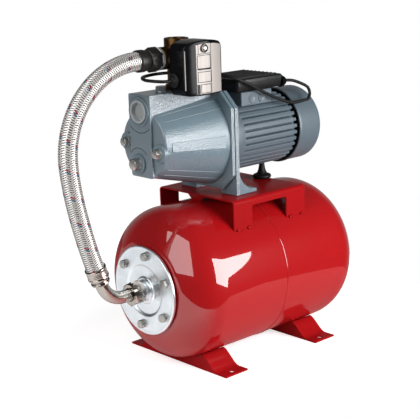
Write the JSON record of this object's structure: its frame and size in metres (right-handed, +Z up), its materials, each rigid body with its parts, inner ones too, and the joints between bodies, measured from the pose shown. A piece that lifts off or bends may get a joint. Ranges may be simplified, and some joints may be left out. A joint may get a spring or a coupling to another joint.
{
  "type": "shallow well jet pump set",
  "caption": "Self-priming jet pump with a finned motor on a horizontal pressure tank, with braided hose, five-way fitting and pressure switch.",
  "frame": {"origin": "middle of the footprint's box, on the floor under the feet", "axes": "+X along the tank and the shaft, from the hose to the motor's fan; +Z up; +Y away from the pressure switch"},
  "size_m": [0.608, 0.2724, 0.5666],
  "materials": {
    "red_enamel": "glossy enamel",
    "hammered_grey": "hammered gloss paint",
    "motor_grey": "smooth satin paint",
    "cover_grey": "smooth satin paint",
    "black_plastic": "moulded",
    "black_rubber": "matt",
    "grey_plastic": "moulded",
    "white_plastic": "moulded",
    "zinc_plate": "zinc plated",
    "nickel": "nickel plated",
    "brass": "cast and machined",
    "steel": "ground",
    "laminated_steel": "laminated",
    "copper_winding": "varnished winding on laminations",
    "steel_braid": "rubber hose under a stainless braid"
  },
  "bodies": {
    "set": {"air_valve": "brass", "box_gland": "black_plastic", "bracket_bolt_1": "zinc_plate", "bracket_bolt_2": "zinc_plate", "braided_hose": "steel_braid", "capacitor": "white_plastic", "casing_bolt_1": "zinc_plate", "casing_bolt_2": "zinc_plate", "casing_bolt_3": "zinc_plate", "casing_bolt_4": "zinc_plate", "casing_oring": "black_rubber", "cover_nut": "nickel", "diffuser": "white_plastic", "drain_plug": "nickel", "ejector_nozzle": "brass", "elbow_nut": "nickel", "elbow_tube": "nickel", "fan_cover": "cover_grey", "five_way_fitting": "brass", "flange_bolt_1": "zinc_plate", "flange_bolt_2": "zinc_plate", "flange_bolt_3": "zinc_plate", "flange_bolt_4": "zinc_plate", "flange_bolt_5": "zinc_plate", "flange_bolt_6": "zinc_plate", "front_bearing": "steel", "front_foot": "red_enamel", "hose_bottom_ferrule": "nickel", "hose_top_ferrule": "nickel", "hose_top_nut": "nickel", "left_plug": "nickel", "motor_bracket": "hammered_grey", "motor_cable": "black_rubber", "motor_housing": "motor_grey", "motor_support_foot": "black_rubber", "priming_plug": "nickel", "pump_bracket": "red_enamel", "pump_casing": "hammered_grey", "rear_bearing": "steel", "rear_end_shield": "black_plastic", "rear_foot": "red_enamel", "right_plug": "nickel", "seal_seat": "white_plastic", "switch_base": "zinc_plate", "switch_cover": "black_plastic", "switch_gland": "black_rubber", "tank_flange": "zinc_plate", "tank_membrane": "black_rubber", "tank_shell": "red_enamel", "terminal_box": "black_plastic", "terminal_box_lid": "black_plastic", "wound_stator": "copper_winding"},
    "rotor": {"motor_shaft": "steel", "rotor_core": "laminated_steel", "impeller": "brass", "seal_ring": "black_rubber", "cooling_fan": "black_plastic"},
    "suction_plug": {"suction_plug": "grey_plastic"},
    "air_cap": {"air_valve_cap": "black_plastic"},
    "lever": {"switch_lever": "steel"}
  },
  "joints": [
    {"name": "shaft_spin", "type": "hinge", "parent": "set", "child": "rotor", "pos_m": [0.066, 0, 0.388], "axis": [1, 0, 0], "continuous": true},
    {"name": "suction_plug_pull", "type": "slide", "parent": "set", "child": "suction_plug", "axis": [-1, 0, 0], "range_m": [0, 0.045]},
    {"name": "air_cap_pull", "type": "slide", "parent": "set", "child": "air_cap", "axis": [1, 0, 0], "range_m": [0, 0.03]},
    {"name": "switch_lever_rock", "type": "hinge", "parent": "set", "child": "lever", "pos_m": [-0.0575, -0.0423, 0.5006], "axis": [1, 0, 0], "range_deg": [0, 4]}
  ]
}
